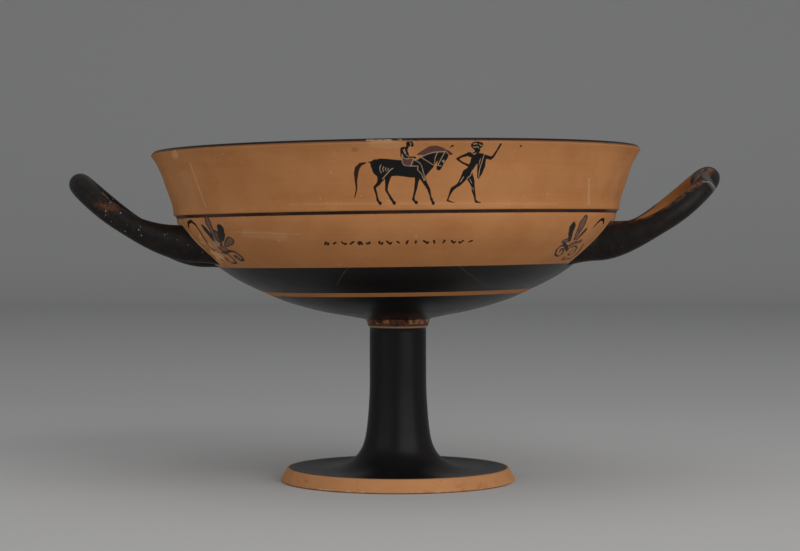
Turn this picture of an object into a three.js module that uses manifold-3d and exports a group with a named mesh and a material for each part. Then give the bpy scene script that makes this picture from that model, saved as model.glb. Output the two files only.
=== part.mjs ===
// A Greek drinking cup, or kylix, of the lip-cup kind: a wide shallow bowl with an offset, flaring
// lip, on a tall stem and a disc foot, with two loop handles that rise beside the bowl.
// It is one piece of fired clay. The potter threw the bowl and the foot, set the bowl on the stem
// slightly off level, and luted two rolled handles to its sides, one a little twisted.
// Millimetres, +Z up. The origin is on the table, on the axis of the stem. The handles lie along X.

import * as THREE from 'three';
import { mergeVertices } from 'three/addons/utils/BufferGeometryUtils.js';
import Module from 'manifold-3d';

const wasm = await Module();
wasm.setup();

// Foot and stem.
const FOOT_RADIUS = 48.4;          // where the foot's edge meets the table
const FOOT_EDGE_HEIGHT = 5.7;
const FOOT_EDGE_SLANT = 2.7;       // how far the edge leans in, from the table to its top
const FOOT_EDGE_ROUND = 0.7;
const FOOT_DISC_DISH = 0.8;        // the top of the disc dips this much inside its edge
const FOOT_REST_WIDTH = 7;         // the flat ring that stands on the table
const FOOT_UNDERCUT = 2;           // the underside's rise inside that ring
const FOOT_DISC_WALL = 4.2;
const STEM_RADIUS = 11.7;
const STEM_HEIGHT = 66.4;          // table to the bowl
const STEM_FLARE_HEIGHT = 34;      // the stem widens below this height above the disc
const STEM_HOLLOW_MOUTH = 13;      // the tapering hollow under the foot: radius below, radius above
const STEM_HOLLOW_TIP = 3.6;
const STEM_HOLLOW_FLARE = 19.5;    // where the hollow has opened out into the underside
const STEM_HOLLOW_ROOF = 12;       // clay left between the hollow and the bowl
const FILLET_RADIUS = 13.1;        // the ring of clay where stem and bowl meet
const FILLET_HEIGHT = 3.1;
const FILLET_TAPER = 0.9;

// Bowl and lip.
const RIM_RADIUS = 100;
const LIP_HEIGHT = 25.6;
const LIP_FOOT_RADIUS = 91.1;      // the lip's lower edge, which stands proud of the bowl
const LIP_OFFSET = 1.2;            // the step from the lip in to the bowl
const LIP_OFFSET_HEIGHT = 1.3;
const BOWL_DEPTH = 42.4;           // bowl's underside at the stem to the step
const RIM_WALL = 3.2;
const BOWL_WALL = 4;
const FLOOR_WALL = 6.5;
const BOWL_LEAN = 0.777;           // degrees: the bowl sits low on the -X side

// Handles.
const HANDLE_SPREAD = 23;          // the roots' centres stand this far either side of X
const HANDLE_ROOT_HEIGHT = 30.7;   // above the bowl's underside at the stem
const HANDLE_THICK = 8.7;
const HANDLE_WIDE = 8.9;
const HANDLE_ROOT_SPLAY = 1.75;    // the roll of clay is this much thicker where it is luted on
const HANDLE_SPLAY_LENGTH = 25;    // how far out the splay dies away
const HANDLE_ROOT_RUN = 15;        // how far the roll runs on behind the bowl's surface, before it is cut
const HANDLE_SHOULDER = [0.47, 0.46]; // where the loop leaves its roots' line: share of reach, of widths
// Reach and rise run from the centre of a root to the centre of the loop's end. The bulge sets how
// blunt the loop's end is. The twist is in degrees about the handle's own outward line.
const LEFT_HANDLE = { reach: 49.4, rise: 26.2, bulge: 35, twist: 4 };
const RIGHT_HANDLE = { reach: 47.6, rise: 25.6, bulge: 42, twist: -0.8 };

// Facets.
const TURNS = 56;                  // about the axis
const FLARE_STEPS = 15;            // along each line of the profile
const HOLLOW_STEPS = 6;
const BELLY_STEPS = 15;
const LIP_STEPS = 8;
const HANDLE_STEPS = 24;
const HANDLE_SIDES = 12;
const SAME_CORNER = 1e-4;          // corners closer than this are one

const at = (x, y) => new THREE.Vector2(x, y);

// A smooth line through the points, with its ends kept.
const smooth = (points, count) => new THREE.SplineCurve(points).getSpacedPoints(count);

// The foot's top edge, the disc and the stem up to the fillet, as shares across and up the flare.
const FLARE = [[1, 0], [0.78, -1], [0.52, -0.9], [0.345, 0.02], [0.2, 0.095], [0.112, 0.2], [0.058, 0.34],
  [0.027, 0.55], [0.008, 0.8], [0, 1]];

function flareLine() {
  const outer = FOOT_RADIUS - FOOT_EDGE_SLANT - FOOT_EDGE_ROUND;
  const reach = outer - STEM_RADIUS;
  const points = FLARE.map(([across, up]) => at(
    STEM_RADIUS + reach * across,
    FOOT_EDGE_HEIGHT + (up < 0 ? up * FOOT_DISC_DISH : up * STEM_FLARE_HEIGHT)));
  return smooth(points, FLARE_STEPS);
}

// The hollow between its tip and its mouth, as shares of the way across and up.
const HOLLOW = [[0, 1], [0.15, 0.55], [0.45, 0.25], [1, 0.05]];

// The foot and stem, from the top of the hollow, round the underside and up to the bowl.
function footProfile() {
  const hollowTop = STEM_HEIGHT - STEM_HOLLOW_ROOF;
  const underDisc = FOOT_EDGE_HEIGHT - FOOT_DISC_WALL + FOOT_UNDERCUT;
  const rest = FOOT_RADIUS - FOOT_REST_WIDTH;
  const straight = hollowTop - STEM_HOLLOW_TIP - underDisc;
  const hollow = smooth([
    ...HOLLOW.map(([across, up]) => at(
      STEM_HOLLOW_TIP + (STEM_HOLLOW_MOUTH - STEM_HOLLOW_TIP) * across, underDisc + straight * up)),
    at(STEM_HOLLOW_FLARE, underDisc),
  ], HOLLOW_STEPS);
  const domed = Math.SQRT1_2 * STEM_HOLLOW_TIP;
  const joint = STEM_HEIGHT + FLOOR_WALL / 3;
  return [
    at(0, hollowTop),
    at(domed, hollowTop - STEM_HOLLOW_TIP + domed),
    ...hollow,
    at(rest - FOOT_UNDERCUT, FOOT_UNDERCUT),
    at(rest, 0),
    at(FOOT_RADIUS - FOOT_EDGE_ROUND, 0),
    at(FOOT_RADIUS, FOOT_EDGE_ROUND),
    at(FOOT_RADIUS - FOOT_EDGE_SLANT, FOOT_EDGE_HEIGHT - FOOT_EDGE_ROUND),
    ...flareLine(),
    at(STEM_RADIUS, STEM_HEIGHT - FILLET_HEIGHT),
    at(FILLET_RADIUS - FILLET_TAPER, STEM_HEIGHT - FILLET_HEIGHT),
    at(FILLET_RADIUS, STEM_HEIGHT),
    at(FILLET_RADIUS, joint),
    at(0, joint),
  ];
}

// The bowl's underside from the stem to the step, as shares of its radius and depth.
const BELLY = [[0.03, 0.004], [0.107, 0.032], [0.257, 0.086], [0.426, 0.176], [0.561, 0.283], [0.688, 0.401],
  [0.809, 0.556], [0.873, 0.655], [0.931, 0.76], [0.971, 0.856], [0.994, 0.944], [1, 1]];
// The lip from its foot to the rim, as shares of its flare and height.
const LIP = [[0, 0], [0.02, 0.1], [0.09, 0.21], [0.32, 0.45], [0.53, 0.68], [0.77, 0.87], [1, 1]];
// Across the rounded rim, as shares of its width.
const RIM_ROUND = [0.2, 0.5, 0.8];

const bowlTop = STEM_HEIGHT + BOWL_DEPTH;
const lipFoot = bowlTop + LIP_OFFSET_HEIGHT;

// Outside of the bowl below the step.
function bellyLine() {
  const inner = STEM_RADIUS;
  const outer = LIP_FOOT_RADIUS - LIP_OFFSET;
  return smooth(BELLY.map(([across, up]) => at(
    inner + (outer - inner) * across, STEM_HEIGHT + BOWL_DEPTH * up)), BELLY_STEPS);
}

// Outside of the lip, up to where the rim begins to round over.
function lipLine() {
  return smooth(LIP.map(([across, up]) => at(
    LIP_FOOT_RADIUS + (RIM_RADIUS - LIP_FOOT_RADIUS) * across,
    lipFoot + (LIP_HEIGHT - RIM_WALL / 2) * up)), LIP_STEPS);
}

// A line moved towards the inside of the bowl by a wall that changes evenly along it. A level move
// keeps each point's height, and is longer where the line leans.
function inwards(line, wallBelow, wallAbove, depth, level) {
  return line.map((p, i) => {
    const before = line[Math.max(i - 1, 0)];
    const after = line[Math.min(i + 1, line.length - 1)];
    const along = at(after.x - before.x, after.y - before.y).normalize();
    const wall = (wallBelow + (wallAbove - wallBelow) * i / (line.length - 1)) * depth;
    return level ? at(p.x - wall / along.y, p.y) : at(p.x - along.y * wall, p.y + along.x * wall);
  });
}

// The inside of the bowl from the rim down to the axis, or at half depth the middle of the wall. It
// is smoother than the outside, so every other point will do, and it has no step.
function insideLine(depth) {
  const lip = inwards(lipLine(), BOWL_WALL, RIM_WALL, depth, true).filter((p, i) => i && i % 2 === 0);
  const belly = inwards(bellyLine(), FLOOR_WALL, BOWL_WALL, depth, false).filter((p, i) => i % 2 === 1);
  const floor = STEM_HEIGHT + FLOOR_WALL * depth;
  return [...lip.reverse(), ...belly.slice(1, -1).reverse(), at(0, floor)];
}

function bowlProfile() {
  const lip = lipLine();
  const inside = insideLine(1);
  const edge = lip[lip.length - 1];
  const across = at(inside[0].x - edge.x, inside[0].y - edge.y);
  const rim = RIM_ROUND.map((share) => at(
    edge.x + across.x * share,
    edge.y + across.y * share + Math.sin(share * Math.PI) * RIM_WALL / 2));
  const step = at(LIP_FOOT_RADIUS - LIP_OFFSET / 3, lipFoot - LIP_OFFSET_HEIGHT / 2);
  return [at(0, STEM_HEIGHT), ...bellyLine(), step, ...lip, ...rim, ...inside];
}

// A closed solid from geometry whose matching corners are merged.
function solidOf(geometry) {
  const bare = new THREE.BufferGeometry();
  bare.setAttribute('position', geometry.getAttribute('position'));
  bare.setIndex(geometry.getIndex());
  const merged = mergeVertices(bare, SAME_CORNER);
  const corners = merged.getIndex().array;
  const triangles = [];
  for (let i = 0; i < corners.length; i += 3) {
    const [a, b, c] = corners.slice(i, i + 3);
    if (a !== b && b !== c && c !== a) triangles.push(a, b, c);
  }
  return new wasm.Manifold(new wasm.Mesh({
    numProp: 3,
    vertProperties: merged.getAttribute('position').array,
    triVerts: new Uint32Array(triangles),
  }));
}

// A profile of radius and height, turned about Z.
function turned(profile) {
  return solidOf(new THREE.LatheGeometry(profile, TURNS).rotateX(Math.PI / 2));
}

// Where the outside of the bowl lies at a height.
function bowlRadiusAt(height) {
  const line = bellyLine();
  const i = Math.max(1, line.findIndex((p) => p.y >= height));
  const [low, high] = [line[i - 1], line[i]];
  return low.x + (high.x - low.x) * (height - low.y) / (high.y - low.y);
}

// How far out from the axis the middle of a handle's root meets the bowl.
function handleRoot() {
  return Math.sqrt(bowlRadiusAt(STEM_HEIGHT + HANDLE_ROOT_HEIGHT) ** 2 - HANDLE_SPREAD ** 2);
}

// The middle of the handle's roll of clay: seen from above, two like curves that meet at its end.
function handleLine({ reach, rise, bulge }) {
  const rootHeight = STEM_HEIGHT + HANDLE_ROOT_HEIGHT;
  const root = handleRoot();
  const half = new THREE.CubicBezierCurve(
    at(root, HANDLE_SPREAD),
    at(root + reach * HANDLE_SHOULDER[0], (HANDLE_SPREAD + bulge) * HANDLE_SHOULDER[1]),
    at(root + reach, bulge),
    at(root + reach, 0));
  const points = [at(root - HANDLE_ROOT_RUN, HANDLE_SPREAD), ...half.getSpacedPoints(HANDLE_STEPS / 2)];
  const both = [...points.map((p) => at(p.x, -p.y)), ...points.slice(0, -1).reverse()];
  return both.map((p) => {
    const out = (p.x - root) / reach;
    return new THREE.Vector3(p.x, p.y, rootHeight + rise * out * Math.abs(out));
  });
}

// The roll of clay: an oval carried along the line, splayed at both roots and closed by end faces.
function handleSolid(handle) {
  const line = handleLine(handle);
  const last = line.length - 1;
  const corners = [];
  line.forEach((centre, i) => {
    const along = line[Math.min(i + 1, last)].clone().sub(line[Math.max(i - 1, 0)]).normalize();
    const across = new THREE.Vector3(0, 0, 1).cross(along).normalize();
    const up = along.clone().cross(across);
    const out = centre.x - handleRoot();
    const splay = 1 + (HANDLE_ROOT_SPLAY - 1) * (1 - THREE.MathUtils.smoothstep(out, 0, HANDLE_SPLAY_LENGTH));
    for (let s = 0; s < HANDLE_SIDES; s++) {
      const angle = s / HANDLE_SIDES * 2 * Math.PI;
      corners.push(...centre.clone()
        .addScaledVector(across, Math.cos(angle) * HANDLE_WIDE / 2 * Math.sqrt(splay))
        .addScaledVector(up, Math.sin(angle) * HANDLE_THICK / 2 * splay));
    }
  });
  const firstEnd = corners.length / 3;
  corners.push(...line[0], ...line[last]);
  const faces = [];
  for (let s = 0; s < HANDLE_SIDES; s++) {
    const next = (s + 1) % HANDLE_SIDES;
    for (let i = 0; i < last; i++) {
      const [a, b] = [i * HANDLE_SIDES + s, i * HANDLE_SIDES + next];
      faces.push(a, b, b + HANDLE_SIDES, a, b + HANDLE_SIDES, a + HANDLE_SIDES);
    }
    faces.push(firstEnd, next, s, firstEnd + 1, last * HANDLE_SIDES + s, last * HANDLE_SIDES + next);
  }
  const roll = new THREE.BufferGeometry();
  roll.setAttribute('position', new THREE.Float32BufferAttribute(corners, 3));
  roll.setIndex(faces);
  const pivot = STEM_HEIGHT + HANDLE_ROOT_HEIGHT;
  roll.translate(0, 0, -pivot).rotateX(THREE.MathUtils.degToRad(handle.twist)).translate(0, 0, pivot);
  return solidOf(roll);
}

function cup() {
  const middle = insideLine(0.5);
  const top = middle[0].y;
  const insideOfWall = turned([...middle.slice().reverse(), at(0, top)]);
  const bowl = turned(bowlProfile());
  const left = handleSolid(LEFT_HANDLE).rotate([0, 0, 180]);
  const handles = handleSolid(RIGHT_HANDLE).add(left).subtract(insideOfWall);
  const leaning = bowl.add(handles)
    .translate([0, 0, -STEM_HEIGHT])
    .rotate([0, -BOWL_LEAN, 0])
    .translate([0, 0, STEM_HEIGHT]);
  return turned(footProfile()).add(leaning);
}

// The finished clay as one mesh.
function meshOf(name, solid, material) {
  const { vertProperties, triVerts } = solid.getMesh();
  const geometry = new THREE.BufferGeometry();
  geometry.setAttribute('position', new THREE.BufferAttribute(vertProperties, 3));
  geometry.setIndex(new THREE.BufferAttribute(triVerts, 1));
  geometry.computeVertexNormals();
  const mesh = new THREE.Mesh(geometry, material);
  mesh.name = name;
  return mesh;
}

const firedClay = new THREE.MeshStandardMaterial({ color: 0xb0713f, roughness: 0.5, metalness: 0 });

const group = new THREE.Group();
group.add(meshOf('kylix_cup', cup(), firedClay));

export default group;
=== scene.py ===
import math

import bpy
import numpy as np
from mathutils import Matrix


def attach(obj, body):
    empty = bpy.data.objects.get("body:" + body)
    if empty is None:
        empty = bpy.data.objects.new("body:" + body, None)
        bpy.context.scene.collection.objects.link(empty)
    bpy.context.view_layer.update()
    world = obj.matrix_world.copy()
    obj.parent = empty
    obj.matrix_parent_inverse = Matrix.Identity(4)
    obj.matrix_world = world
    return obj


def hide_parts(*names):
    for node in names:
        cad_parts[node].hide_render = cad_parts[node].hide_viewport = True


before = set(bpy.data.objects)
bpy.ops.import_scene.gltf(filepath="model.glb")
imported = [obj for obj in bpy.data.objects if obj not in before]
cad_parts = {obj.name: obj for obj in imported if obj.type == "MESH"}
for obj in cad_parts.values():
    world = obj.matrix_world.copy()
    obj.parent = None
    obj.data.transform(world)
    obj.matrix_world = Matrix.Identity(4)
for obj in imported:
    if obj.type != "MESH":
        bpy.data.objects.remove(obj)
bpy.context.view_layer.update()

# The clay body. Potters threw this shape in two pieces, the bowl and the stemmed foot, and joined
# them leather-hard, here a little off level. It is one turned skin, fine where it is painted.

STEM_TOP = 66.4  # millimetres from the table to the bowl
LEAN = math.radians(0.777)
STEP_FOOT = 108.8  # heights of the small step between bowl and lip
LIP_FOOT = 110.1
RIM_EDGE = 134.1
RIM_ROUND = 1.57  # how far the rounded rim stands above its edge
RIM_WIDTH = 3.83


def curve_through(points, step):
    """A smooth line through the points, in steps of about that length."""
    p = np.array(points, float)
    p = np.vstack([2 * p[0] - p[1], p, 2 * p[-1] - p[-2]])
    t = np.linspace(0, 1, 24, endpoint=False)[:, None]
    runs = []
    for a, b, c, d in zip(p, p[1:], p[2:], p[3:]):
        runs.append(b + (c - a) / 2 * t + (2 * a - 5 * b + 4 * c - d) / 2 * t**2
                    + (3 * b - a - 3 * c + d) / 2 * t**3)
    line = np.vstack(runs + [p[-2:-1]])
    along = np.r_[0, np.cumsum(np.hypot(*np.diff(line[:, :2], axis=0).T))]
    even = np.linspace(0, along[-1], max(2, round(along[-1] / step) + 1))
    return np.column_stack([np.interp(even, along, line[:, k]) for k in range(line.shape[1])])


# Radius and height in millimetres, from the top of the hollow in the stem round the underside.
hollow = curve_through([(0, 54.4), (2.6, 53.4), (3.6, 50.8), (5, 30), (7.8, 15.5), (13, 6), (19.5, 3.7),
                        (30, 2.9), (38.6, 2.1)], 3.6)
rest = np.array([(39.4, 2), (40.9, 0.35), (41.4, 0), (44.5, 0), (46.8, 0), (47.3, 0.25), (47.98, 0.5),
                 (47.95, 0.75), (47.3, 2.1), (46.55, 3.5), (45.85, 4.75), (45.65, 5.2), (45.3, 5.5),
                 (44.8, 5.58)])
flare = curve_through([(43.6, 5.6), (37.8, 4.92), (29.1, 4.95), (23.2, 6.3), (18.4, 8.9), (15.4, 12.5),
                       (13.6, 17.3), (12.6, 24.4), (11.95, 32.9), (11.7, 39.7), (11.7, 50), (11.7, 62.9)],
                      1.7)
fillet = np.array([(11.85, 63.15), (12.2, 63.3), (12.45, 63.9), (12.7, 64.8), (12.95, 65.7),
                   (13.15, 66.25)])
BELLY = [(0.03, 0.004), (0.107, 0.032), (0.257, 0.086), (0.426, 0.176), (0.561, 0.283), (0.688, 0.401),
         (0.809, 0.556), (0.873, 0.655), (0.931, 0.76), (0.971, 0.856), (0.994, 0.944), (1, 1)]
belly = curve_through([(11.7 + 78.2 * a, STEM_TOP + 42.4 * b) for a, b in BELLY], 0.44)
painted = (belly[:, 1] > 87.3) | ((belly[:, 1] > 76) & (belly[:, 1] < 79.4))
belly = belly[painted | (np.arange(len(belly)) % 3 == 0) | (np.arange(len(belly)) == len(belly) - 1)]
LIP = [(0, 0), (0.02, 0.1), (0.09, 0.21), (0.32, 0.45), (0.53, 0.68), (0.77, 0.87), (1, 1)]
lip = curve_through([(91.1 + 8.87 * a, LIP_FOOT + 24 * b) for a, b in LIP], 0.31)
step = np.array([(89.95, 109.0), (90.2, 109.3), (90.6, 109.6), (90.95, 109.85)])
across = np.linspace(0, 1, 11)[1:-1]
rim = np.column_stack([lip[-1, 0] - RIM_WIDTH * across, RIM_EDGE + RIM_ROUND * np.sin(across * math.pi)])


def inner_side(line, wall_low, wall_high, level, count):
    """A few points of the line, moved into the bowl by a wall that changes evenly along it."""
    along = np.gradient(line, axis=0)
    along /= np.hypot(*along.T)[:, None]
    wall = np.linspace(wall_low, wall_high, len(line))
    if level:
        moved = np.column_stack([line[:, 0] - wall / along[:, 1], line[:, 1]])
    else:
        moved = line + np.column_stack([-along[:, 1] * wall, along[:, 0] * wall])
    return moved[np.linspace(0, len(line) - 1, count).astype(int)]


inside_belly = inner_side(belly, 6.5, 4.1, False, 9)[1:-1]
inside_lip = inner_side(lip, 4, 3.2, True, 5)[1:]
inside = curve_through([(0.01, STEM_TOP + 6.5), (4, STEM_TOP + 6.52), *inside_belly, *inside_lip], 0.4)[::-1]
coarse = (inside[:, 0] > 19) & (inside[:, 1] < 129) & (np.arange(len(inside)) % 7 > 0)
inside = inside[~coarse]
middle_of_wall = inner_side(belly, 2.4, 2, False, 60)

# Where the profile needs fine columns: the picture on the lip, the palmettes by the handles and
# the short row of marks between them. In degrees from the front, towards the right.
EVEN = np.arange(-180, 180, 3)
PICTURE = np.arange(-11.6, 26.6, 0.18)
MARKS = np.arange(-20, 21, 0.28)
PALMETTES = np.concatenate([np.arange(middle - 13.5, middle + 13.5, 0.34) for middle in (-122, -58, 58, 122)])
CHIPS = [(4.1, 0.9), (17.0, 0.7), (19.7, 1.0), (44.4, 0.8), (54.3, 1.1)]  # place, size in millimetres
RIM_SPOTS = np.concatenate([np.arange(-1.2, 1.2, 0.2) + place for place, size in CHIPS] + [PICTURE])

parts = [(hollow, None), (rest, None), (flare, None), (fillet, None), (belly, None), (step, None),
         (lip, PICTURE), (rim, RIM_SPOTS), (inside, None)]
rings = []  # each is radius, height, distance along the profile, part, angles
travelled = 0.0
last = None
for number, (line, extra) in enumerate(parts):
    for radius, height in line:
        if last is not None:
            travelled += math.hypot(radius - last[0], height - last[1])
        last = (radius, height)
        columns = extra
        if line is belly and height > 87.5:
            columns = PALMETTES if not 96.2 < height < 98.8 else np.r_[PALMETTES, MARKS]
        if line is step:
            columns = RIM_SPOTS[:0]
        angles = EVEN if columns is None else np.unique(np.round(np.r_[EVEN, columns], 3))
        if line is hollow and radius < 1:
            angles = EVEN[::4]
        rings.append((radius, height, travelled, number, angles))
PART_NAMES = ["hollow", "rest", "flare", "fillet", "belly", "step", "lip", "rim", "inside"]

radius, height, travel, part, angle = (np.concatenate(column) for column in zip(*(
    (np.full(len(ring[4]), ring[0]), np.full(len(ring[4]), ring[1]), np.full(len(ring[4]), ring[2]),
     np.full(len(ring[4]), ring[3]), ring[4]) for ring in rings)))
turn = np.radians(angle)
where = {name: part == number for number, name in enumerate(PART_NAMES)}

faces = []
start = 0
for lower, upper in zip(rings, rings[1:]):
    a, b = lower[4], upper[4]
    other = start + len(a)
    if len(a) == len(b):
        i = np.arange(len(a))
        j = (i + 1) % len(a)
        faces.append(np.column_stack([start + i, start + j, other + j]))
        faces.append(np.column_stack([start + i, other + j, other + i]))
    else:
        i = j = 0
        fan = []
        while i < len(a) or j < len(b):
            next_a = a[i + 1] if i + 1 < len(a) else 180 if i < len(a) else 999
            next_b = b[j + 1] if j + 1 < len(b) else 180 if j < len(b) else 999
            if next_a <= next_b:
                fan.append((start + i % len(a), start + (i + 1) % len(a), other + j % len(b)))
                i += 1
            else:
                fan.append((start + i % len(a), other + (j + 1) % len(b), other + j % len(b)))
                j += 1
        faces.append(np.array(fan))
    start = other
for first, count, flip in ((0, len(rings[0][4]), True), (start, len(rings[-1][4]), False)):
    loop = first + np.arange(count)
    fan = np.column_stack([np.full(count - 2, loop[0]), loop[1:-1], loop[2:]])
    faces.append(fan[:, ::-1] if flip else fan)
faces = np.vstack(faces)

# The painting, as lists of brush strokes on the unrolled clay: millimetres to the right of the
# front, millimetres up, and the stroke's half width. The figures are a plain horse with its rider
# and a youth on foot. Scratched lines have no width of their own.
FIGURES = [
    [(-8.8, 16.9, 0.58), (-7.2, 16.2, 2.01), (-5.4, 15.1, 3.36), (0.8, 15, 2.85), (5.8, 14.5, 3.1),
     (9.1, 14.7, 3.21), (11.2, 16.8, 2.99), (13.3, 18.4, 2.04), (14.9, 19.7, 1.17)],
    [(15.1, 19.7, 1.09), (17.3, 19.1, 1.57), (16.4, 17.1, 1.28), (15.7, 14.8, 0.91)],
    [(18.3, 20.4, 0.8), (20, 19.8, 0.36)],
    [(8.1, 12.7, 1.31), (7.7, 10.2, 0.77), (7.2, 6.9, 0.49), (6.6, 4.3, 0.36), (6.5, 3.6, 0.57),
     (6.9, 2.9, 0.4), (7.6, 2.4, 0.69)],
    [(9.4, 12.3, 1.31), (10.7, 9.6, 0.77), (12.3, 7.1, 0.55), (13.1, 4.3, 0.35), (13.5, 3.4, 0.53),
     (13.8, 2.7, 0.4), (14.1, 2.1, 0.69)],
    [(-5.1, 13.6, 2.48), (-5.7, 11.1, 1.17), (-6.5, 9.5, 0.69), (-8.1, 8.1, 0.47), (-7.8, 7, 0.44),
     (-7.3, 4.6, 0.35), (-7.1, 3.5, 0.53), (-6.7, 2.8, 0.4), (-6.2, 2.3, 0.69)],
    [(-2.9, 13.9, 2.12), (-3.1, 11.1, 1.02), (-3.5, 8.9, 0.58), (-3.7, 7.1, 0.51), (-3, 5.7, 0.36),
     (-1.9, 3.8, 0.51), (-1.4, 3.1, 0.4), (-0.8, 2.3, 0.69)],
    [(4.5, 23.6, 0.88), (5.2, 23.6, 0.95), (5.7, 23, 0.62)],
    [(4.3, 22.8, 0.44), (3.5, 21.5, 0.66)],
    [(2.8, 21.7, 0.8), (3.3, 20.5, 1.09), (3.5, 18.5, 1.42), (4, 16.7, 1.24)],
    [(2.3, 21.7, 0.69), (2.3, 19.2, 0.66), (3.3, 18.5, 0.51), (6.9, 18.6, 0.4)],
    [(28.5, 22.7, 1.35), (29.2, 21.9, 1.17), (29.9, 21.1, 0.73)],
    [(27.7, 23, 1.06), (29, 23.5, 0.73), (30.3, 22.9, 0.95)],
    [(29.1, 21.2, 0.66), (29.3, 19.8, 0.95)],
    [(26.8, 19.6, 0.84), (29.2, 19.2, 1.09), (31.7, 19.1, 0.84)],
    [(29.3, 18.3, 1.75), (28.4, 16.2, 1.28), (27.7, 14.6, 1.13), (26.8, 13.1, 1.64)],
    [(26.4, 19.8, 0.69), (23.9, 18.9, 0.42), (22.2, 18.1, 0.36), (24.1, 16.8, 0.36), (27.1, 15.5, 0.44)],
    [(31.7, 19.1, 0.73), (35.1, 18.3, 0.62), (35.9, 18.8, 0.49), (37, 21.1, 0.36), (37.8, 23.2, 0.42)],
    [(32.3, 18.5, 0.95), (32.1, 15.5, 1.2), (31.6, 12.9, 0.88), (31.1, 11.3, 0.47)],
    [(30.4, 17.6, 0.36), (30.8, 11.7, 0.29)],
    [(26.2, 12.9, 1.53), (25.1, 10.8, 1.2), (23.8, 8.9, 0.73), (22.6, 8.1, 0.62), (21.3, 7.2, 0.69),
     (20.6, 5.7, 0.46), (19.9, 3.7, 0.27), (19.6, 3, 0.36), (21, 2.5, 0.26), (22.6, 2.2, 0.13)],
    [(27.3, 12.2, 1.46), (28.6, 10, 1.13), (29.4, 8, 0.64), (29.6, 6.8, 0.71), (30.3, 4.9, 0.46),
     (30.7, 3.3, 0.35), (31.1, 2.5, 0.47), (33.1, 2.1, 0.18)],
]
THIN = [
    [(-10.9, 17, 0.26), (-12.8, 16.5, 0.58), (-14.2, 15, 0.84), (-14.7, 13, 0.8), (-14.9, 10.5, 0.47),
     (-14.9, 7.6, 0.29), (-15.9, 4.5, 0.18)],
    [(-10, 17.1, 0.15), (-8.6, 17.3, 0.36)],
    [(19.3, 22.1, 0.18), (19.9, 22.8, 0.29), (20.4, 22.6, 0.22)],
]
RED = [
    [(7.9, 19.7, 0.33), (10, 20.5, 0.88), (12.1, 21.3, 1.28), (14.3, 21.5, 1.31), (16.8, 21.1, 0.84),
     (18.8, 20.2, 0.51), (19.8, 19.7, 0.33)],
    [(3.2, 17.2, 1.13), (5.2, 17, 1.2)],
]
CUTS = [
    [(7.4, 19.5), (9, 18.8), (11.5, 19.9), (13.6, 20.5), (17.9, 20.7)],
    [(7.2, 19.3), (8.8, 18.8), (11.2, 17.4), (13.8, 15.8), (14.9, 15.9)],
    [(8.8, 18.8), (7.8, 18), (6.3, 18.1), (5.4, 15.7)],
    [(2.1, 19.4), (2.4, 16.7), (3.2, 15.8), (5.7, 15.6), (8.1, 15.5), (7.9, 14.2), (9.4, 12.7),
     (10.3, 10.5)],
    [(6.4, 17.9), (8.5, 16.8), (9.3, 15.8), (9.9, 13.8), (10.9, 10.6), (10.3, 10.4)],
    [(3, 21.9), (3.7, 19.6), (4.7, 18.8)],
    [(2.2, 20), (2.9, 18.5), (3.8, 18.2), (6.3, 18.4)],
    [(2.6, 21.4), (3.2, 20.1)],
    [(17.5, 20.5), (16.3, 18), (15.3, 15.7), (16.5, 15.6)],
    [(14.8, 20.3), (14.1, 18.4), (14, 16.4)],
    [(18.4, 20.4), (19.1, 19.4)],
    [(17.2, 17.7), (17.6, 17.3), (17.2, 16.8), (16.8, 17.3), (17.2, 17.7)],
    [(-1, 14.9), (-2, 14.3), (-3.7, 12.5), (-5, 11.1)],
    [(-5.3, 16.3), (-5.9, 15.1), (-5.7, 14), (-5.3, 13.1)],
    [(-4.4, 15.6), (-4.8, 14.7), (-4.6, 13.7)],
    [(-3.6, 15.2), (-3.9, 14.5), (-3.5, 13.8)],
    [(-2.7, 15), (-2.9, 14.4), (-2.7, 14)],
    [(32.3, 19.6), (31.9, 17.3), (31.3, 14.4), (31.1, 12.2), (31.4, 11)],
    [(30.5, 21.7), (30.7, 20.5)],
    [(26.7, 20.8), (28.4, 19.6), (29.1, 20.1)],
    [(25.3, 11.6), (24.1, 9.6)],
    [(28.5, 14), (27.9, 12), (26.6, 10.9)],
    [(27.7, 10.8), (28.7, 9.2)],
    [(29.3, 7.7), (29.7, 6.6)],
    [(27.5, 22.4), (28.5, 22.1), (29.2, 22.5), (29.8, 21.8)],
    [(27.3, 23.5), (27.9, 23.1), (28.3, 23.6), (29, 23.2)],
    [(29.7, 23.3), (30.4, 22.7), (30.9, 22.8)],
    [(4.9, 24), (5.4, 23.5), (5.1, 22.9)],
]
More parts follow.
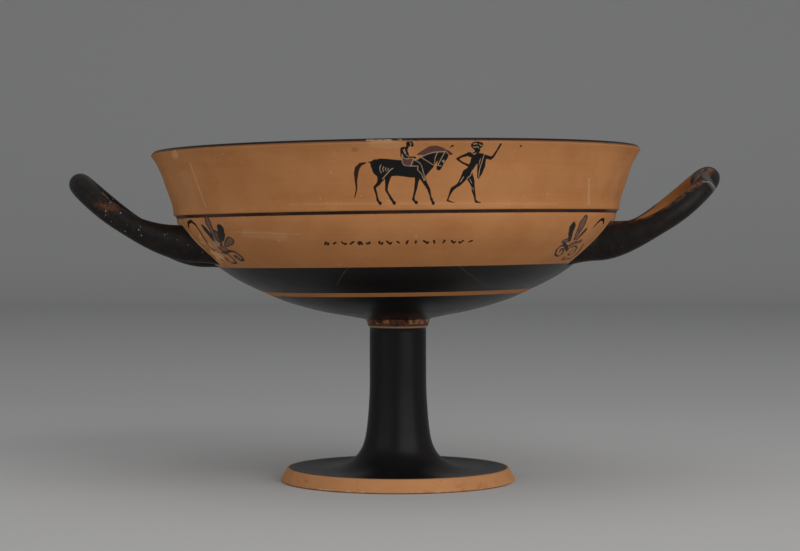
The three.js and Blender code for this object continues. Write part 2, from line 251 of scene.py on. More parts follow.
# The palmettes beside the handles, measured up the profile from a height of 77 mm.
RIGHT = [
    [(-6.6, 37.1, 0.51), (-10.1, 41.4, 1.15), (-11.1, 44.3, 1.54), (-11.3, 45.5, 0.9)],
    [(-2.2, 37.9, 0.45), (-1.5, 40.8, 0.83), (-0.6, 42.9, 0.77)],
    [(-6.7, 34.9, 0.51), (-10.3, 34.6, 0.42), (-10.8, 32.5, 0.42), (-8.6, 29.6, 0.51), (-5, 28.5, 0.42),
     (-3.7, 30.1, 0.38), (-5.9, 32.7, 0.42), (-8, 33, 0.38), (-7.3, 31.4, 0.45)],
    [(-2.8, 31.6, 0.38), (-2, 33.7, 0.42), (1.2, 34.5, 0.42), (4.5, 33.3, 0.38), (6.5, 30.5, 0.38),
     (4.6, 28.9, 0.38), (1.7, 29.7, 0.35), (2.3, 31.2, 0.32), (2.7, 32.4, 0.32)],
    [(-9.4, 35.8, 0.7), (-5.7, 34.1, 0.83), (-2, 31.9, 0.58)],
    [(2.2, 26.2, 0.64), (1.5, 28, 0.51), (2.3, 26.3, 0.51), (10, 27, 0.45), (11.6, 30.1, 0.45),
     (8.8, 33.8, 0.38), (7.6, 35.6, 0.32)],
    [(5, 44, 0.38), (6.5, 46.2, 0.45), (8.8, 47.4, 0.58), (11.5, 47.3, 0.64), (13.1, 45.7, 0.51)],
]
RIGHT_RED = [
    [(-4.1, 38.2, 0.64), (-5.2, 41.8, 1.28), (-5.5, 45.9, 1.86), (-4.9, 47.8, 1.28)],
    [(-0.8, 36.2, 0.58), (2, 37, 0.96)],
    [(-3.6, 35.3, 0.96), (-1.7, 36.2, 0.96)],
    [(-10.8, 37.2, 0.96), (-9.2, 37.5, 1.28)],
]
LEFT = [
    [(2, 38, 0.58), (2.2, 43.1, 1.28), (1, 45.4, 1.22), (0.1, 46.9, 0.7)],
    [(8.5, 40.2, 0.77), (10.9, 43.2, 1.47), (11.6, 45.7, 1.66), (11.4, 46.5, 0.96)],
    [(4.7, 33.5, 0.58), (7.8, 34.4, 0.64), (10.6, 33.4, 0.58), (11.7, 31.1, 0.58), (10.8, 28.8, 0.64),
     (8.3, 28.6, 0.51), (7.1, 30, 0.58), (7.2, 31.4, 0.58), (9, 31.2, 0.51), (9.2, 30, 0.45)],
    [(-0.2, 33.5, 0.51), (3.4, 32.5, 0.51), (4.3, 29.7, 0.51), (3.1, 27.2, 0.58), (-0.8, 26.8, 0.58),
     (-2.5, 28.8, 0.45), (-2.1, 30.6, 0.45), (-0.8, 29.2, 0.45)],
    [(1.4, 36.4, 0.7), (2.1, 34.5, 0.83), (4, 33.5, 0.64)],
    [(-13.8, 46.4, 0.51), (-12.3, 48.3, 0.7), (-8.6, 49, 0.64), (-5.3, 47.4, 0.51), (-4, 44.1, 0.45),
     (-4.6, 39.8, 0.45), (-5.1, 35.6, 0.45), (-5.5, 31.3, 0.45), (-4.6, 28.7, 0.38)],
    [(9, 44.2, 0.45), (8, 41.2, 0.51), (5.5, 38, 0.58)],
]
LEFT_RED = [
    [(4.7, 39.7, 0.58), (5.3, 45.7, 1.28), (5, 48.3, 1.6), (4.6, 49.9, 1.09)],
    [(5.7, 39.1, 0.51), (6.9, 43, 0.96), (7.4, 44.2, 0.7)],
    [(7.7, 37.2, 0.7), (12.4, 39.4, 1.66), (13.8, 40.2, 1.54)],
    [(4.5, 36.6, 1.09), (5.7, 35.4, 1.15)],
]
FAR = 9.0  # what counts as far from any stroke


def distance_to(strokes, right, up, broad=1):
    """How far each place is outside the nearest stroke, less than zero inside it. Strokes are
    wider from left to right than up and down where broad is more than 1."""
    nearest = np.full(len(right), FAR)
    for stroke in strokes:
        for start, end in zip(stroke, stroke[1:]):
            run = np.array(end[:2]) - start[:2]
            run[0] /= broad
            aside = (right - start[0]) / broad
            share = (aside * run[0] + (up - start[1]) * run[1]) / (run @ run + 1e-9)
            share = np.clip(share, 0, 1)
            gap = np.hypot(aside - share * run[0], up - start[1] - share * run[1])
            if len(start) > 2:
                gap = gap - start[2] - share * (end[2] - start[2])
            nearest = np.minimum(nearest, gap)
    return nearest


def bands(place, edges):
    """Signed distance to the nearest of the bands, each from one place on the profile to another."""
    return np.min([np.maximum(low - place, place - high) for low, high in edges], axis=0)


outside = where["belly"] | where["step"] | where["lip"]
order = np.argsort(height[outside])


def travel_at(level):
    """Distance along the profile where the outside of the bowl reaches a height."""
    return float(np.interp(level, height[outside][order], travel[outside][order]))


foot_edge = travel[(part == 1) & (height > 5.55)].min()
inner_rim = travel[where["inside"]].min()
centre = travel.max()
slip = bands(travel, [
    (foot_edge, travel_at(76.9)),
    (travel_at(78.5), travel_at(88.65)),
    (travel_at(108.4), travel_at(109.65)),
    (travel_at(RIM_EDGE - 0.05) + 0.95, inner_rim + 3.4),
    (inner_rim + 4.6, centre - 17.5),
    (centre - 15.4, centre - 14.6),
    (centre - 6.4, centre - 5.6),
    (centre - 1.6, centre + 9)])
slip = np.where(where["hollow"], FAR, slip)
red = np.full(len(slip), FAR)
cut = np.full(len(slip), FAR)
thin = np.full(len(slip), FAR)

here = where["lip"]
right, up = turn[here] * 95, height[here] - 110
picture = distance_to(FIGURES, right, up)
thin[here] = distance_to(THIN, right, up)
slip[here] = np.minimum(slip[here], np.minimum(picture, thin[here]))
red[here] = distance_to(RED, right, up)
cut[here] = distance_to(CUTS, right, up)
slip[here] = np.minimum(slip[here], red[here])

# The other side of the cup repeats the palmettes, turned half round, and has no figures. The row
# of marks on the front is made of short dashes.
dice = np.random.default_rng(7)
dashes = []
for number in range(17):
    right = -27.8 + 3.52 * number + dice.uniform(-0.25, 0.25)
    tall, slant = dice.uniform(0.25, 0.75), dice.uniform(-0.75, 0.75)
    dashes.append([(right - slant, 37.8 - tall, 0.38), (right + slant, 37.9 + tall, 0.46)])
    if dice.random() < 0.6:
        side = 1 if dice.random() < 0.6 else -1
        dashes.append([(right + side * 0.8, 37.3 - tall * 0.4, 0.45), (right + side * 1.2, 37.7 + tall * 0.3, 0.36)])
here = where["belly"] & (height > 87)
up = travel[here] - travel_at(77)
for half_turn in (0, math.pi):
    around = (turn[here] - half_turn + math.pi) % (2 * math.pi) - math.pi
    palmettes = petals = middle_lines = np.full(len(up), FAR)
    for strokes, red_strokes, middle in ((RIGHT, RIGHT_RED, 58), (LEFT, LEFT_RED, -58)):
        right = (around - math.radians(middle)) * 82
        palmettes = np.minimum(palmettes, distance_to(strokes, right, up, 1.15))
        petals = np.minimum(petals, distance_to(red_strokes, right, up, 1.15) - 0.1)
        middles = [[point[:2] for point in stroke] for stroke in strokes[:2]]
        middle_lines = np.minimum(middle_lines, distance_to(middles, right, up))
    red[here] = np.minimum(red[here], petals + 0.5)
    slip[here] = np.minimum(slip[here], np.minimum(palmettes, petals))
    cut[here] = np.minimum(cut[here], middle_lines + 0.12)
    if half_turn == 0:
        slip[here] = np.minimum(slip[here], distance_to(dashes, around * 86, up))

# Small chips in the rim, and the slight unevenness of a hand-thrown wall.
chip = np.zeros(len(slip))
rim_edge = travel_at(RIM_EDGE - 0.1)
for place, size in CHIPS:
    gap = np.hypot(np.radians(angle - place) * 100, (travel - rim_edge - 0.9) * 0.8)
    chip = np.maximum(chip, np.clip(1.3 - gap / (0.42 * size), 0, 1))
chip = np.where(where["lip"] | where["rim"], chip, 0)
uneven = 0.05 * np.sin(3 * turn + 1) + 0.04 * np.sin(7 * turn + height / 9) - 0.1
outer = outside | where["rim"] | where["flare"]
radius = radius + np.where(outer & (height > 8), uneven * np.clip(height / 60, 0, 1), 0)
points = np.column_stack([(radius - 0.45 * chip) * np.sin(turn), -(radius - 0.45 * chip) * np.cos(turn),
                          height - 0.5 * chip])

# The handles. Each is a roll of clay bent into a loop and pressed on, thicker where it joins.
# reach, rise, bulge, twist, side, swell at the root, how far the swell runs
HANDLES = [(49.4, 26.2, 35, 3, -1, 1.76, 30), (47.6, 25.6, 42, -0.8, 1, 1.86, 26)]
SPREAD, THICK, WIDE, ROOT_RUN = 23, 8.66, 8.86, 27
ROOT_LEVEL = STEM_TOP + 30.7
SIDES, STATIONS = 32, 84
root = math.sqrt(np.interp(ROOT_LEVEL, belly[:, 1], belly[:, 0]) ** 2 - SPREAD**2)
extra, ridges, joints = [], [], []
for reach, rise, bulge, twist, side, swell, swell_run in HANDLES:
    corners = np.array([(root, SPREAD), (root + reach * 0.47, (SPREAD + bulge) * 0.46),
                        (root + reach, bulge), (root + reach, 0)])
    t = np.linspace(0, 1, 140)[:, None]
    half = ((1 - t) ** 3 * corners[0] + 3 * (1 - t) ** 2 * t * corners[1]
            + 3 * (1 - t) * t**2 * corners[2] + t**3 * corners[3])
    lead = np.column_stack([np.linspace(root - ROOT_RUN, root, 50)[:-1], np.full(49, SPREAD)])
    half = np.vstack([lead, half])
    line = np.vstack([half * (1, -1), half[-2::-1]])
    out = (line[:, 0] - root) / reach
    line = np.column_stack([line, ROOT_LEVEL + rise * out * np.maximum(out, -0.3) * np.sign(out)])
    along = np.gradient(line, axis=0)
    along /= np.linalg.norm(along, axis=1)[:, None]
    sideways = np.cross((0, 0, 1), along)
    sideways /= np.linalg.norm(sideways, axis=1)[:, None]
    upwards = np.cross(along, sideways)
    ease = np.clip((line[:, 0] - root) / swell_run, 0, 1)
    splay = 1 + (swell - 1) * (1 - ease**2 * (3 - 2 * ease))
    round_it = np.arange(SIDES) / SIDES * 2 * math.pi
    rolls = 1 - 0.012 * (1 + np.sin(np.arange(len(line)) / 11 + side))
    grid = (line[:, None] + sideways[:, None] * (np.cos(round_it)[None] * (WIDE / 2 * splay**0.5 * rolls)[:, None])[..., None]
            + upwards[:, None] * (np.sin(round_it)[None] * (THICK / 2 * splay * rolls)[:, None])[..., None])
    bend = math.radians(twist)
    y, z = grid[..., 1].copy(), grid[..., 2] - ROOT_LEVEL
    grid[..., 1] = y * math.cos(bend) - z * math.sin(bend)
    grid[..., 2] = y * math.sin(bend) + z * math.cos(bend) + ROOT_LEVEL
    wall = np.interp(grid[..., 2], middle_of_wall[:, 1], middle_of_wall[:, 0])
    clear = grid[..., 0] - np.sqrt(np.maximum(wall**2 - grid[..., 1] ** 2, 1))
    skin = np.empty((STATIONS, SIDES, 4))
    for column in range(SIDES):
        free = np.flatnonzero(clear[:, column] > 0)
        ends = []
        for near, far in ((free[0], free[0] - 1), (free[-1], free[-1] + 1)):
            share = clear[near, column] / (clear[near, column] - clear[far, column])
            ends.append(near + (far - near) * share)
        stations = np.linspace(*ends, STATIONS)
        for axis in range(3):
            skin[:, column, axis] = np.interp(stations, np.arange(len(line)), grid[:, column, axis])
        skin[:, column, 3] = np.interp(stations, np.arange(len(line)), out)
    facing = (round_it + math.pi) % (2 * math.pi) - math.pi
    lowest, highest, end = (-0.55, 0.1, 0.95) if side < 0 else (-0.6, 1.1, 0.985)
    bare = np.maximum(np.maximum(lowest - facing, facing - highest) * 4.4, (skin[..., 3] - end) * 45)
    ridge = np.abs(facing - 1.7) / 0.52 + np.maximum(0.04 - skin[..., 3], 0) * 12
    ridges.append(np.clip(1.25 - ridge, 0, 1).ravel() if side > 0 else np.zeros(skin[..., 3].size))
    outer_wall = np.interp(skin[..., 2], belly[:, 1], belly[:, 0])
    beyond = skin[..., 0] - np.sqrt(np.maximum(outer_wall**2 - skin[..., 1] ** 2, 1))
    for stations in (range(STATIONS // 2), range(STATIONS - 1, STATIONS // 2, -1)):
        met = np.array([next(skin[k, column, :3] for k in stations if beyond[k, column] > 0)
                        for column in range(SIDES)])
        met = np.vstack([met + (np.roll(met, -1, 0) - met) * share for share in (0, 0.25, 0.5, 0.75)])
        joints.append(met * (side, side, 1))
    base = len(points) + sum(len(block[0]) for block in extra)
    place = skin[..., :3].reshape(-1, 3) * (side, side, 1)
    i, j = np.meshgrid(np.arange(STATIONS - 1), np.arange(SIDES), indexing="ij")
    a, b = base + i * SIDES + j, base + i * SIDES + (j + 1) % SIDES
    skin_faces = np.vstack([np.column_stack([a.ravel(), b.ravel(), (b + SIDES).ravel()]),
                            np.column_stack([a.ravel(), (b + SIDES).ravel(), (a + SIDES).ravel()])])
    k = np.arange(1, SIDES - 1)
    first, final = base, base + (STATIONS - 1) * SIDES
    caps = np.vstack([np.column_stack([np.full(len(k), first), first + k + 1, first + k]),
                      np.column_stack([np.full(len(k), final), final + k, final + k + 1])])
    extra.append((place, np.vstack([skin_faces, caps]), -bare.ravel()))
body_count = len(points)
points = np.vstack([points] + [block[0] for block in extra])
faces = np.vstack([faces] + [block[1] for block in extra])
slip = np.concatenate([slip] + [block[2] for block in extra])
red, cut, thin = (np.concatenate([field, np.full(len(points) - body_count, FAR)]) for field in (red, cut, thin))
chip = np.concatenate([chip, np.zeros(len(points) - body_count)])
loop_part = np.zeros(len(points))
loop_part[body_count:] = 1
front = np.zeros(len(points))
front[:body_count] = (outside | where["rim"]) & (points[:body_count, 1] < 0)
ridge = np.concatenate([np.zeros(body_count), *ridges])
root_gap = np.full(len(points), FAR)
near_roots = np.flatnonzero(np.r_[where["belly"] & (height > 82), np.zeros(len(points) - body_count, bool)])
for joint in joints:
    for spot in joint:
        root_gap[near_roots] = np.minimum(root_gap[near_roots], np.linalg.norm(points[near_roots] - spot, axis=1))

# The lean: all that is above the stem tips a little to the left.
tip = LEAN * np.clip((points[:, 2] - STEM_TOP + 3.2) / 3.2, 0, 1)
x, rise_above = points[:, 0].copy(), points[:, 2] - STEM_TOP
leaning = tip > 0
points[leaning, 0] = (x * np.cos(tip) - rise_above * np.sin(tip))[leaning]
points[leaning, 2] = (x * np.sin(tip) + rise_above * np.cos(tip) + STEM_TOP)[leaning]

mesh = bpy.data.meshes.new("cup")
mesh.from_pydata(points / 1000, [], faces.tolist())
mesh.polygons.foreach_set("use_smooth", np.ones(len(mesh.polygons), bool))
for name, field in (("slip", slip), ("red", red), ("cut", cut), ("thin", thin), ("chip", chip),
                    ("loop", loop_part), ("ridge", ridge), ("joint", root_gap), ("front", front)):
    mesh.attributes.new(name, "FLOAT", "POINT").data.foreach_set("value", field.astype(np.float32))
mesh.update()
cup = bpy.data.objects.new("cup", mesh)
bpy.context.scene.collection.objects.link(cup)
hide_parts("kylix_cup")
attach(cup, "root")


class Value:
    """A node's output. Adding, multiplying and so on gives a Math node's output."""

    def __init__(self, tree, socket):
        self.tree = tree
        self.socket = socket

    def math(self, kind, *others):
        return Value(self.tree, node(self.tree, "ShaderNodeMath", {"operation": kind},
                                     {0: self, **{k + 1: other for k, other in enumerate(others)}}).outputs[0])

    def __add__(self, other):
        return self.math("ADD", other)

    def __radd__(self, other):
        return self.math("ADD", other)

    def __mul__(self, other):
        return self.math("MULTIPLY", other)

    def __rmul__(self, other):
        return self.math("MULTIPLY", other)

    def __sub__(self, other):
        return self.math("SUBTRACT", other)

    def __rsub__(self, other):
        return self.math("MULTIPLY", -1).math("ADD", other)

    def __truediv__(self, other):
        return self.math("DIVIDE", other)

    def __neg__(self):
        return self.math("MULTIPLY", -1)

    def ramp(self, low, high):
        """0 below low and 1 above high, or the other way round, with a smooth change between."""
        made = node(self.tree, "ShaderNodeMapRange", {"interpolation_type": "SMOOTHSTEP"},
                    {0: self, 1: min(low, high), 2: max(low, high), 3: float(low > high), 4: float(low < high)})
        return Value(self.tree, made.outputs[0])


def node(tree, kind, settings, sockets):
    """A new node with these settings, and its inputs set or linked."""
    made = tree.nodes.new(kind)
    for name, value in settings.items():
        setattr(made, name, value)
    for name, value in sockets.items():
        if isinstance(value, Value):
            tree.links.new(value.socket, made.inputs[name])
        elif isinstance(value, bpy.types.NodeSocket):
            tree.links.new(value, made.inputs[name])
        else:
            made.inputs[name].default_value = value
    return made


def new_material(name):
    made = bpy.data.materials.new(name)
    made.use_nodes = True
    made.node_tree.nodes.clear()
    return made, made.node_tree


material, tree = new_material("painted_clay")
mesh.materials.append(material)
place = node(tree, "ShaderNodeTexCoord", {}, {}).outputs["Object"]
mm = node(tree, "ShaderNodeVectorMath", {"operation": "SCALE"}, {0: place, "Scale": 1000}).outputs[0]
axes = node(tree, "ShaderNodeSeparateXYZ", {}, {0: mm})
px, py, pz = (Value(tree, axes.outputs[k]) for k in range(3))
level = pz - px * 0.01356


def field(name):
    return Value(tree, node(tree, "ShaderNodeAttribute", {"attribute_name": name}, {}).outputs["Fac"])


def noise(scale, detail=2, rough=0.5, stretch=None, seed=0):
    """Noise from 0 to 1 with features of about 1 / scale millimetres."""
    vector = mm
    if stretch:
        vector = node(tree, "ShaderNodeVectorMath", {"operation": "MULTIPLY"}, {0: mm, 1: stretch}).outputs[0]
    made = node(tree, "ShaderNodeTexNoise", {"noise_dimensions": "4D"},
                {"Vector": vector, "W": seed, "Scale": scale, "Detail": detail, "Roughness": rough})
    return Value(tree, made.outputs["Fac"])


def blend(share, first, second):
    """A colour between two."""
    made = node(tree, "ShaderNodeMix", {"data_type": "RGBA"}, {})
    for value, index in ((share, 0), (first, 6), (second, 7)):
        if isinstance(value, tuple):
            made.inputs[index].default_value = (*value, 1)
        elif isinstance(value, Value):
            tree.links.new(value.socket, made.inputs[index])
        elif isinstance(value, bpy.types.NodeSocket):
            tree.links.new(value, made.inputs[index])
        else:
            made.inputs[index].default_value = value
    return made.outputs[2]


def patch(middle, size, edge=0.35, scale=0.5, seed=0):
    """1 inside an uneven patch round a place, 0 outside. All in millimetres."""
    shift = node(tree, "ShaderNodeVectorMath", {"operation": "SUBTRACT"}, {0: mm, 1: middle}).outputs[0]
    squeezed = node(tree, "ShaderNodeVectorMath", {"operation": "DIVIDE"}, {0: shift, 1: size}).outputs[0]
    far = node(tree, "ShaderNodeVectorMath", {"operation": "LENGTH"}, {0: squeezed}).outputs["Value"]
    return (Value(tree, far) + (noise(scale, 3, 0.6, seed=seed) - 0.5) * 1.2).ramp(1, 1 - edge)


def line_mark(start, end, half, seed=9):
    """1 on a thin uneven line across the front, between two places given as x and z."""
    run = (end[0] - start[0], end[1] - start[1])
    size = run[0] ** 2 + run[1] ** 2
    x, z = px - start[0], pz - start[1]
    share = (x * run[0] + z * run[1]) / size
    share = share.math("MAXIMUM", 0).math("MINIMUM", 1)
    x, z = x - share * run[0], z - share * run[1]
    gap = (x * x + z * z).math("SQRT") + (noise(0.8, 3, 0.6, seed=seed) - 0.5) * half * 1.6
    return gap.ramp(half * 1.25, half * 0.6) * py.ramp(6, 2)


on_front = field("front")
loop_here = field("loop")
grain = noise(2.2, 4, 0.6)
mottle = noise(0.05, 4, 0.6, seed=3)
rings_of_turning = noise(0.35, 3, 0.6, stretch=(0.02, 0.02, 1.6), seed=1)
specks = noise(0.9, 2, 0.4, seed=5).ramp(0.72, 0.77)

clay = blend(mottle.ramp(0.3, 0.7), (0.465, 0.187, 0.061), (0.55, 0.243, 0.089))
clay = blend(rings_of_turning.ramp(0.35, 0.7) * 0.22, clay, (0.58, 0.26, 0.11))
clay = blend(grain.ramp(0.55, 0.8) * 0.3, clay, (0.36, 0.13, 0.042))
# Painted shade: the clay is painted darker from a little below the step downwards, where the bowl turns under.
clay = blend(level.ramp(103, 89) * 0.3, clay, (0.42, 0.17, 0.055))
# A brown band on the rim below its black line: partly a thin wash of slip, partly painted shade that keeps the rounded
# rim edge from showing a bright line.
clay = blend(level.ramp(134.0, 134.5) * level.ramp(140, 139) * 0.75, clay, (0.17, 0.066, 0.027))
clay = blend(specks * 0.5, clay, (0.72, 0.47, 0.26))
clay = blend(line_mark((-58, 101.5), (-43, 100), 1.5) * 0.12 * on_front, clay, (0.75, 0.5, 0.3))
clay = blend(line_mark((-64, 101.9), (-36, 100.9), 0.22) * 0.2 * on_front, clay, (0.75, 0.5, 0.3))
clay = blend(line_mark((-79.7, 128.2), (-73.9, 111.4), 0.3) * 0.3 * on_front, clay, (0.75, 0.5, 0.3))
clay = blend(line_mark((-82.5, 124), (-79, 112), 2.0) * 0.08 * on_front, clay, (0.75, 0.5, 0.3))
clay = blend(line_mark((72.9, 122), (73.4, 112.5), 0.5) * 0.22 * on_front, clay, (0.75, 0.5, 0.3))
clay = blend(patch((-5.1, -98, 133.4), (7, 8, 2.2), 0.4, 0.4) * 0.45 * on_front, clay, (0.62, 0.34, 0.16))
clay = blend(patch((-85.7, -47, 131.7), (2.4, 12, 2.2), 0.5) * 0.55 * on_front, clay, (0.72, 0.45, 0.24))
clay = blend(patch((-15.6, -97, 131.6), (1.8, 9, 1.1), 0.6) * 0.5 * on_front, clay, (0.30, 0.12, 0.05))
clay = blend(patch((45.1, -87.6, 133.3), (0.5, 9, 0.5), 0.4, 0.1) * on_front, clay, (0.05, 0.025, 0.015))
clay = blend(loop_here * 0.4, clay, (0.30, 0.135, 0.035))
foot_zone = pz.ramp(6.2, 5.8)
clay = blend(foot_zone * 0.5, clay, (0.66, 0.32, 0.14))
clay = blend(foot_zone * noise(0.06, 4, 0.6, seed=11).ramp(0.45, 0.7) * 0.5, clay, (0.64, 0.30, 0.13))
clay = blend(foot_zone * noise(0.16, 5, 0.7, seed=12).ramp(0.54, 0.62) * 0.55, clay, (0.46, 0.165, 0.06))
clay = blend(foot_zone * pz.ramp(1.2, 0.5) * noise(0.18, 4, 0.7, seed=13).ramp(0.56, 0.62) * 0.7, clay,
             (0.70, 0.52, 0.33))

wobble = (noise(0.7, 2, 0.5, seed=2) - 0.5) * 0.24
edge = field("slip") + wobble + loop_here * (noise(0.3, 4, 0.6, seed=14) - 0.5) * 1.6
edge = edge.math("MINIMUM", field("joint") - 0.5 + (noise(0.5, 3, 0.6, seed=15) - 0.5) * 1.3)
covered = edge.ramp(0.05, -0.05)
depth = (-edge).ramp(0.02, 0.5)
black = blend(depth, (0.035, 0.015, 0.007), (0.0100, 0.0096, 0.0096))
black = blend(noise(0.08, 4, 0.6, seed=6).ramp(0.5, 0.75) * 0.35, black, (0.022, 0.012, 0.008))
lip_line = level.ramp(107.2, 107.6) * level.ramp(111, 110.6) * on_front
black = blend(lip_line * noise(0.04, 4, 0.7, seed=16).ramp(0.3, 0.7) * 0.8, black, (0.075, 0.028, 0.012))
handle_black = noise(0.35, 5, 0.7, seed=17)
black = blend(loop_here * handle_black.ramp(0.40, 0.64) * 0.8, black, (0.022, 0.0145, 0.011))
black = blend(loop_here * noise(0.5, 5, 0.75, seed=18).ramp(0.56, 0.66) * 0.5, black, (0.06, 0.026, 0.012))
black = blend((field("thin") + wobble).ramp(0.15, -0.15) * 0.6, black, (0.050, 0.020, 0.008))
wash = (field("red") + wobble).ramp(0.05, -0.05)
wash_colour = blend(level.ramp(110, 109), (0.13, 0.056, 0.046), (0.19, 0.088, 0.068))
black = blend(wash * noise(0.6, 3, 0.6, seed=7).ramp(0.2, 0.45), black, wash_colour)
colour = blend(covered, clay, black)
scratch = field("cut").ramp(0.21, 0.10) * (-field("slip")).ramp(-0.05, 0.05)
colour = blend(scratch * 0.85, colour, (0.50, 0.36, 0.22))
pale = field("joint").ramp(0.3, 0.7) * field("joint").ramp(3.2, 2.0) * noise(0.25, 4, 0.7, seed=19).ramp(0.40, 0.56)
colour = blend(pale * (-px).ramp(20, 40) * 0.75, colour, (0.74, 0.46, 0.24))
colour = blend(pale * px.ramp(20, 40) * 0.35, colour, (0.74, 0.46, 0.24))
chipped = field("chip").ramp(0.35, 0.6) * noise(1.2, 2, 0.5, seed=20).ramp(0.40, 0.55)
colour = blend(chipped * 0.75, colour, (0.56, 0.36, 0.2))
filled = line_mark((-77.5, 99.4), (-69.2, 90.9), 1.5) * noise(0.22, 3, 0.6, seed=27).ramp(0.46, 0.54)
colour = blend(filled * field("joint").ramp(0.3, 0.7) * on_front * 0.8, colour, (0.74, 0.45, 0.22))
colour = blend(patch((-70.8, -45, 97.2), (2, 12, 2.2), 0.8, 0.9) * on_front * 0.5, colour, (0.55, 0.4, 0.28))
worn_rim = line_mark((-11.3, 134.85), (1.1, 135.0), 0.3) * py.ramp(-80, -85)
colour = blend(worn_rim * noise(0.3, 4, 0.7, seed=24).ramp(0.40, 0.52) * 0.7, colour, (0.55, 0.36, 0.2))
# Painted highlight: a faint pale band just above the step, where the lowest part of the lip catches the light.
step_highlight = line_mark((-40, 111.9), (60, 112.4), 0.5) * noise(0.06, 3, 0.6, seed=25) * 0.18
colour = blend(step_highlight * on_front * (1 - covered), colour, (0.8, 0.55, 0.35))
cracks = line_mark((-13.4, 93.1), (-20.3, 86.6), 0.2) + line_mark((-20.3, 86.6), (-23.5, 81.8), 0.18)
cracks = cracks + line_mark((22.3, 89.6), (26.8, 86.0), 0.2) + line_mark((26.8, 86.0), (33, 81.4), 0.18)
colour = blend(cracks * on_front * 0.07, colour, (0.6, 0.5, 0.4))
# The ring at the top of the stem has lost most of its black.
ring = pz.ramp(62.7, 63.3) * pz.ramp(66.7, 66.2) * (px * px + py * py).ramp(200, 180)
rubbed = noise(0.35, 4, 0.7, seed=21)
colour = blend(ring * rubbed.ramp(0.36, 0.5) * 0.85, colour, (0.13, 0.046, 0.024))
colour = blend(ring * rubbed.ramp(0.5, 0.62) * pz.ramp(64.3, 65.0), colour, (0.45, 0.22, 0.095))
colour = blend(ring * pz.ramp(63.9, 63.4) * 0.7, colour, (0.55, 0.36, 0.22))
# The handles are rubbed brown where they are held, with pale specks, and the right one is mended.
worn = field("ridge") * noise(0.22, 5, 0.7, seed=22).ramp(0.4, 0.58)
colour = blend(worn * 0.8, colour, (0.24, 0.095, 0.034))
rust = patch((-113, -32, 112.6), (11, 14, 3.6), 0.8, 0.4, 3) * noise(0.5, 5, 0.8, seed=26).ramp(0.42, 0.58)
colour = blend(rust * loop_here * 0.85, colour, (0.15, 0.055, 0.018))
pale_specks = noise(1.15, 1, 0.3, seed=23).ramp(0.745, 0.775) * loop_here * (-px).ramp(20, 40)
colour = blend(pale_specks * 0.85, colour, (0.45, 0.42, 0.37))
mend = line_mark((120.6, 127.2), (126.0, 119.2), 1.25) * loop_here
colour = blend(mend * 0.9, colour, (0.085, 0.083, 0.08))
crack = line_mark((120.9, 121.9), (124, 121.8), 0.15) + line_mark((124, 121.8), (127.2, 118.4), 0.13)
colour = blend((crack * loop_here).math("MINIMUM", 1) * 0.8, colour, (0.42, 0.34, 0.26))

rough = 0.72 + (grain - 0.5) * 0.15 + covered * ((noise(0.15, 4, 0.6, seed=8) - 0.5) * 0.14 - 0.38)
rough = rough + loop_here * 0.08
relief = grain * 0.012 + rings_of_turning * 0.05 + covered * 0.03 - scratch * 0.05 + mottle * 0.3
relief = relief + loop_here * handle_black * 0.25
bump = node(tree, "ShaderNodeBump", {}, {"Height": relief, "Distance": 0.001, "Strength": 0.5})
shader = node(tree, "ShaderNodeBsdfPrincipled", {}, {"Base Color": colour, "Roughness": rough,
                                                     "Specular IOR Level": 0.14, "Normal": bump.outputs[0]})
node(tree, "ShaderNodeOutputMaterial", {}, {"Surface": shader.outputs[0]})

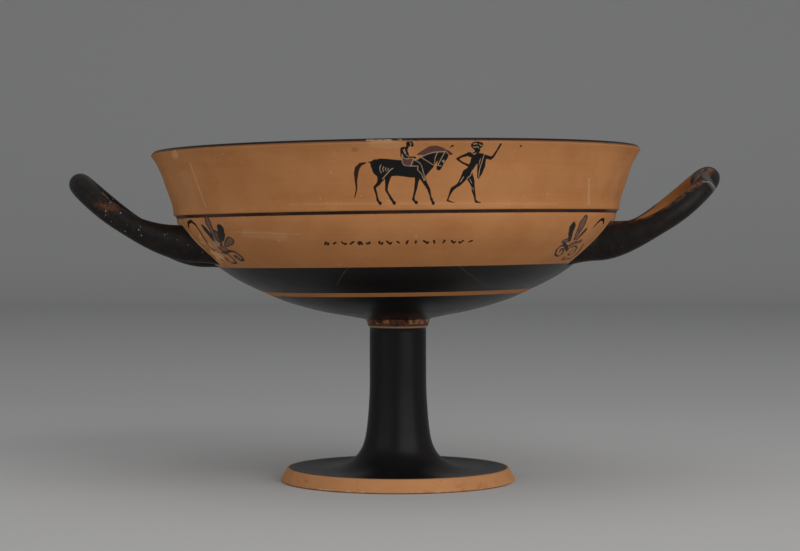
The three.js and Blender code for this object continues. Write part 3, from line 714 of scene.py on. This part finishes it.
# The stage: a wide grey floor that curves up far behind the cup.
sweep = [(-4, 0), (2.2, 0)] + [(2.2 + 0.8 * math.sin(a), 0.8 - 0.8 * math.cos(a))
                               for a in np.linspace(0.08, math.pi / 2, 16)] + [(3.0, 4.5)]
corners = [(side * 5, y, z) for y, z in sweep for side in (-1, 1)]
floor_mesh = bpy.data.meshes.new("floor")
floor_mesh.from_pydata(corners, [], [(2 * k, 2 * k + 1, 2 * k + 3, 2 * k + 2) for k in range(len(sweep) - 1)])
floor_mesh.polygons.foreach_set("use_smooth", np.ones(len(floor_mesh.polygons), bool))
floor = bpy.data.objects.new("floor", floor_mesh)
bpy.context.scene.collection.objects.link(floor)
material, tree = new_material("shaded_paper")
floor_mesh.materials.append(material)
place = node(tree, "ShaderNodeTexCoord", {}, {}).outputs["Object"]
back = Value(tree, node(tree, "ShaderNodeSeparateXYZ", {}, {0: place}).outputs[1])
# Painted shade: the floor is painted lighter in front of the cup and darker towards the back.
shaded_paper = blend(back.ramp(-0.1, 0.5), (0.66, 0.655, 0.645), (0.56, 0.556, 0.548))
shader = node(tree, "ShaderNodeBsdfPrincipled", {}, {"Base Color": shaded_paper, "Roughness": 0.95, "Specular IOR Level": 0.0})
node(tree, "ShaderNodeOutputMaterial", {}, {"Surface": shader.outputs[0]})

# Soft studio light: a large softbox on the right, a weaker one on the left and a dim one above.
for name, around, above, width, power in (("key", 36, 20, 1.6, 13), ("fill", -52, 12, 1.4, 3.4), ("top", 10, 80, 1.6, 2)):
    light = bpy.data.lights.new(name, "AREA")
    light.shape = "SQUARE"
    light.size, light.energy = width, power
    lamp = bpy.data.objects.new(name, light)
    around, above = math.radians(around), math.radians(above)
    lamp.location = (1.5 * math.sin(around) * math.cos(above), -1.5 * math.cos(around) * math.cos(above),
                     0.09 + 1.5 * math.sin(above))
    lamp.rotation_euler = (math.pi / 2 - above, 0, around)
    lamp.visible_camera = False
    bpy.context.scene.collection.objects.link(lamp)
world = bpy.data.worlds.new("room")
world.use_nodes = True
world.node_tree.nodes["Background"].inputs[0].default_value = (0.5, 0.51, 0.525, 1)
world.node_tree.nodes["Background"].inputs[1].default_value = 0.5
bpy.context.scene.world = world
bpy.context.scene.view_settings.view_transform = "Standard"

# The camera, at the photograph's place: a long lens, a little above the handles' roots.
FOCAL = 2052.4  # in the photograph's pixels, 800 across
lens = bpy.data.cameras.new("camera")
lens.sensor_width = 36
lens.lens = 36 * FOCAL / 800
lens.clip_start, lens.clip_end = 0.05, 20
camera = bpy.data.objects.new("camera", lens)
camera.location = (0, -0.84263, 0.09903)
camera.rotation_euler = (math.pi / 2 - math.atan(36.25 / FOCAL), 0, -math.atan(1.93 / FOCAL))
bpy.context.scene.collection.objects.link(camera)
bpy.context.scene.camera = camera
